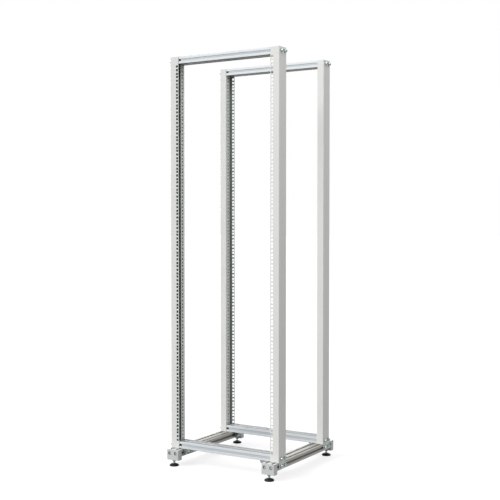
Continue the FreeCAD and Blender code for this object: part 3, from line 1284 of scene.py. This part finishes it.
class RACK_OT_brackets(bpy.types.Operator):
    """Builds the angle brackets between rails and bottom beams"""

    bl_idname = "rack.brackets"
    bl_label = "Corner brackets"

    def execute(self, context):
        sizes = context.scene.rack.feet
        sheet, cheek = sizes.bracket_sheet, sizes.bracket_cheek
        back, tip, beyond = BRACKET_CORNER, BRACKET_TIP, 0.001
        for corner, side, _ in CORNERS:
            node = corner + "_corner_bracket"
            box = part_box(node)
            low, high = box
            leg = high.x - low.x
            width = high.y - low.y
            outline = rounded_outline([
                ((0, 0), back), ((leg, 0), back), ((leg, -sheet), tip),
                ((sheet, -leg), tip), ((0, -leg), back),
            ])
            body = extruded_mesh(node + "_casting", [outline], width, stand_up(1))
            hollow = box_mesh("Hollow", (sheet, cheek, -leg - beyond), (leg + beyond, width - cheek, -sheet))
            place = Matrix.Translation((box_face(box, X, side), low.y, high.z))
            mesh = moved_mesh(cut_mesh(body, [hollow]), place @ Matrix.Diagonal((-side, 1, 1, 1)))
            new_piece(node + "_casting", mesh, "Bracket cast aluminium",
                      [node], edge=BRACKET_EDGE)
        return {"FINISHED"}


# ---------------------------------------------------------------- screws


KNURL_FACES = 72

# How much further each screw of a row is turned than the one before, in radians.
SOCKET_TURN = 0.9

# How far a cover strip runs behind the right post, and its gap to the nut there.
STRIP_OVERLAP = 0.003
NUT_GAP = 0.0005

# From the middle of a bracket to its screws, away from the corner.
BRACKET_SCREW_OFFSET = 0.003


def screw_mesh(sizes, top):
    """A socket head cap screw's head up to the given height, with a knurled side."""
    r = sizes.head / 2
    floor = max(0.001, top - sizes.socket_depth)
    socket = hexagon(sizes.socket)

    def knurled(angle):
        return r - sizes.knurl * (round(angle / (2 * math.pi) * KNURL_FACES) % 2)

    levels = [
        (0.0, r - 0.0004), (0.0004, knurled), (top - 0.0011, knurled), (top - 0.0008, r - 0.0003),
        (top, r - 0.0009), (top, sizes.socket * 0.66), (top - 0.0005, socket), (floor, socket),
        (floor - 0.0008, 0.0004),
    ]
    return stacked_rings("Socket screw", levels, KNURL_FACES)


def washer_mesh(sizes):
    """A flat washer with its lower face on z = 0."""
    r = sizes.washer / 2
    bore = r * 0.525
    thick = sizes.washer_height
    ease = 0.00025
    levels = [
        (0.0, bore), (0.0, r - ease), (ease, r), (thick - ease, r), (thick, r - ease), (thick, bore + ease),
        (thick - ease, bore),
    ]
    return stacked_rings("Washer", levels, count=48, closed=True)


def screw_row(name, places, direction, sizes, turn, washers=True, head=None):
    """Screws at several places in one piece, each turned a little differently."""
    screw = screw_mesh(sizes, head or sizes.head_height)
    washer = washer_mesh(sizes)
    parts = []
    for number, place in enumerate(places):
        seat = facing(direction, place) @ Matrix.Rotation(turn + SOCKET_TURN * number, 4, "Z")
        if washers:
            parts.append((washer, seat))
            seat = seat @ Matrix.Translation((0, 0, sizes.washer_height))
        parts.append((screw, seat))
    new_piece(name, join_meshes(name, parts), "Plated steel")


def slot_bar(name, half, length):
    """A bar along X for a slot that opens to +Z; half the outline is (across, up, radius)."""
    outline = [((-across, up), radius) for across, up, radius in reversed(half)]
    outline += [((across, up), radius) for across, up, radius in half]
    return extruded_mesh(name, [rounded_outline(outline, steps=2)], length, ALONG_X)


def slot_nut_mesh(sizes, recess, length):
    """A T-shaped nut whose neck fills a slot's mouth."""
    neck = sizes.mouth / 2 - 0.0001
    wide = sizes.width / 2 - 0.0003
    shoulder = sizes.lip + sizes.shoulder
    return slot_bar("Slot nut", [
        (neck, -recess, 0.0003), (neck, -sizes.lip, 0.0), (wide, -sizes.lip, LIP_CORNER),
        (wide, -shoulder, LIP_CORNER), (sizes.floor / 2, -sizes.depth + 0.0004, SLOT_CORNER),
    ], length)


def strip_mesh(sizes, recess, length):
    """A cover strip with two snap legs that grip behind a slot's lips."""
    neck = sizes.mouth / 2 - 0.00015
    under = -sizes.lip
    ease = 0.0002
    return slot_bar("Cover strip", [
        (neck, -recess, 0.0003), (neck, under, 0.0), (neck + 0.0008, under - 0.0001, ease),
        (neck - 0.0004, under - 0.0016, ease), (neck - 0.0012, under - 0.0016, ease),
        (neck - 0.0012, -recess - 0.0009, ease),
    ], length)


class RACK_OT_slot_fittings(bpy.types.Operator):
    """Builds the cover strips in the beams' faces and the black nuts at their ends, which stand as painted
    shade in the slots beside the posts
    """

    bl_idname = "rack.slot_fittings"
    bl_label = "Cover strips and slot nuts"

    def execute(self, context):
        fittings = context.scene.rack.fittings
        sizes = context.scene.rack.extrusions
        nut = slot_nut_mesh(sizes, fittings.nut_recess, fittings.nut_length)
        for beam, end in BEAMS:
            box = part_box(beam)
            shade_nuts = []
            strips = []
            for face in (-1, 1):
                cover = fittings.outer_cover if face == end else fittings.inner_cover
                first = box[0].x + cover + fittings.nut_bare
                last = box[1].x - cover + STRIP_OVERLAP
                strip = strip_mesh(sizes, fittings.strip_recess, last - first)
                for parts, mesh, x in (
                    (shade_nuts, nut, first - fittings.nut_length),
                    (shade_nuts, nut, last + NUT_GAP),
                    (strips, strip, first),
                ):
                    place = Matrix.Translation((x, box_face(box, Y, face), centre_of(box)[Z]))
                    parts.append((mesh, place @ stand_up(face)))
            # The black nuts stand as painted shade in the slot ends beside the posts.
            name = beam + "_slot_shade_nuts"
            new_piece(name, join_meshes(name, shade_nuts), "Black slot shade")
            name = beam + "_cover_strips"
            new_piece(name, join_meshes(name, strips), "Cover strip")
        return {"FINISHED"}


class RACK_OT_screws(bpy.types.Operator):
    """Builds the socket head screws in webs, tongues, blocks and brackets"""

    bl_idname = "rack.screws"
    bl_label = "Screws and washers"

    def execute(self, context):
        settings = context.scene.rack
        sizes = settings.screws
        beam_setback = settings.extrusions.beam_setback
        rail_setback = settings.extrusions.rail_setback
        for number, (corner, side, end) in enumerate(CORNERS):
            end_name, side_name = corner.split("_")
            web = box_face(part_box(corner + "_post"), X, side)
            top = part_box(end_name + "_top_beam")
            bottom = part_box(end_name + "_bottom_beam")
            rows = (top[0].y + beam_setback, top[1].y - beam_setback)
            slot_z = centre_of(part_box(side_name + "_side_rail"))[Z]
            heights = (("top", centre_of(top)[Z]), ("bottom", centre_of(bottom)[Z]), ("tongue", slot_z))
            for label, z in heights:
                places = [(web, y, z) for y in rows]
                name = corner + "_" + label + "_screws"
                screw_row(name, places, (side, 0, 0), sizes, turn=number + z * 7)
            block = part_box(corner + "_foot_block")
            floor = box_face(block, Y, end) - end * settings.feet.counterbore_depth
            columns = (block[0].x + rail_setback, block[1].x - rail_setback)
            screw_row(corner + "_block_screws", [(x, floor, slot_z) for x in columns], (0, end, 0), sizes,
                      washers=False, turn=number * 0.7, head=sizes.block_head)
            self.bracket_screws(corner, side, sizes, settings.feet.bracket_sheet, number)
        return {"FINISHED"}

    def bracket_screws(self, corner, side, sizes, sheet, number):
        """One screw up into the beam's slot and one sideways into the rail's slot."""
        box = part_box(corner + "_corner_bracket")
        x, y, z = centre_of(box)
        beam_place = (x - side * BRACKET_SCREW_OFFSET, y, box[1].z - sheet)
        rail_place = (box_face(box, X, side) - side * sheet, y, z - BRACKET_SCREW_OFFSET)
        for label, place, direction, turn in (
            ("beam", beam_place, (0, 0, -1), number),
            ("rail", rail_place, (-side, 0, 0), number + 1),
        ):
            name = corner + "_bracket_" + label + "_screw"
            screw_row(name, [place], direction, sizes, washers=False, turn=turn)


# ---------------------------------------------------------------- stage


SENSOR_WIDTH = 36.0
FLOOR_REACH = 60.0
BLACK = (0.0, 0.0, 0.0, 1.0)
WHITE = (1.0, 1.0, 1.0, 1.0)
SEEN_FLOOR = (0.26, 0.26, 0.26, 1.0)
FLOOR_GLOW = (0.76, 0.76, 0.76, 1.0)


class RACK_OT_stage(bpy.types.Operator):
    """Builds the floor, lamps, backdrop light and camera"""

    bl_idname = "rack.stage"
    bl_label = "Stage"

    def execute(self, context):
        settings = context.scene.rack.stage
        self.build_floor(settings)
        self.light_room(context.scene, settings)
        camera = new_object("Camera", bpy.data.cameras.new("Camera"))
        camera.data.lens = settings.lens
        camera.data.sensor_width = SENSOR_WIDTH
        camera.location = settings.camera_place
        camera.rotation_euler = (math.pi / 2 - settings.camera_down, 0.0, settings.camera_turn)
        context.scene.camera = camera
        context.scene.view_settings.view_transform = "Standard"
        return {"FINISHED"}

    def build_floor(self, settings):
        """A wide dark grey floor that the camera and reflections see as white."""
        far = FLOOR_REACH
        points = [(-far, -far, 0), (far, -far, 0), (far, far, 0), (-far, far, 0)]
        floor = new_object("Studio_floor", mesh_from("Studio_floor", points, [(0, 1, 2, 3)]))
        material, tree, shader = start_material(
            "Studio floor", Roughness=0.9, Specular_IOR_Level=0.0, Emission_Strength=1.0
        )
        seen = seen_directly(tree)
        base = mix_colour(tree, seen, shade(settings.floor), SEEN_FLOOR)
        glow = mix_colour(tree, seen, BLACK, FLOOR_GLOW)
        tree.links.new(base, shader.inputs["Base Color"])
        tree.links.new(glow, shader.inputs["Emission Color"])
        floor.data.materials.append(material)

    def light_room(self, scene, settings):
        """An even room light with a white backdrop, and soft lamps on the left, behind and on the right."""
        world = bpy.data.worlds.new("Studio")
        world.use_nodes = True
        scene.world = world
        tree = world.node_tree
        background = next(node for node in tree.nodes if node.type == "BACKGROUND")
        background.inputs["Color"].default_value = WHITE
        strength = between(tree, seen_directly(tree), 0.0, 1.0, settings.fill, 1.0)
        tree.links.new(strength, background.inputs["Strength"])
        for name, energy, angle, towards in (
            ("Key", settings.key, 35, (-0.30, -0.42, 0.44)),
            ("Rear", settings.rear, 40, (-0.36, 0.85, 0.30)),
        ):
            lamp = new_object(name, bpy.data.lights.new(name, "SUN"))
            lamp.data.energy = energy
            lamp.data.angle = math.radians(angle)
            lamp.rotation_euler = Vector(towards).to_track_quat("Z", "Y").to_euler()
        side = new_object("Side", bpy.data.lights.new("Side", "AREA"))
        side.data.size = 1.2
        side.data.energy = settings.side
        side.location = (1.7, -0.85, 2.9)
        target = Vector((0.2, 0.0, 1.4))
        side.rotation_euler = (side.location - target).to_track_quat("Z", "Y").to_euler()
        side.visible_camera = False


# ---------------------------------------------------------------- sidebar


class RACK_PT_sidebar(bpy.types.Panel):
    """Lists the rack's settings and the buttons that build it"""

    bl_label = "Four Post Open Frame Rack"
    bl_idname = "RACK_PT_sidebar"
    bl_space_type = "VIEW_3D"
    bl_region_type = "UI"
    bl_category = "Rack"

    def draw(self, context):
        for group in context.scene.rack.bl_rna.properties.keys():
            settings = getattr(context.scene.rack, group, None)
            if not isinstance(settings, bpy.types.PropertyGroup):
                continue
            box = self.layout.box()
            box.label(text=group.capitalize())
            for name in settings.bl_rna.properties.keys():
                if name not in ("rna_type", "name"):
                    box.prop(settings, name)
        for operator in BUILD_ORDER:
            self.layout.operator(operator)


BUILD_ORDER = (
    "rack.posts",
    "rack.beams",
    "rack.rails",
    "rack.foot_blocks",
    "rack.feet",
    "rack.brackets",
    "rack.screws",
    "rack.slot_fittings",
    "rack.stage",
)

CLASSES = (
    RackPostSettings,
    RackExtrusionSettings,
    RackFootSettings,
    RackScrewSettings,
    RackFittingSettings,
    RackFinishSettings,
    RackStageSettings,
    RackSettings,
    RACK_OT_posts,
    RACK_OT_beams,
    RACK_OT_rails,
    RACK_OT_foot_blocks,
    RACK_OT_feet,
    RACK_OT_brackets,
    RACK_OT_screws,
    RACK_OT_slot_fittings,
    RACK_OT_stage,
    RACK_PT_sidebar,
)


def register():
    """Registers the settings, operators and panel."""
    for cls in CLASSES:
        bpy.utils.register_class(cls)
    bpy.types.Scene.rack = PointerProperty(type=RackSettings)


def unregister():
    """Takes them away again."""
    del bpy.types.Scene.rack
    for cls in reversed(CLASSES):
        bpy.utils.unregister_class(cls)


def main():
    """Builds the rack and its stage."""
    register()
    for operator in BUILD_ORDER:
        group, name = operator.split(".")
        getattr(getattr(bpy.ops, group), name)()


if __name__ == "__main__":
    main()
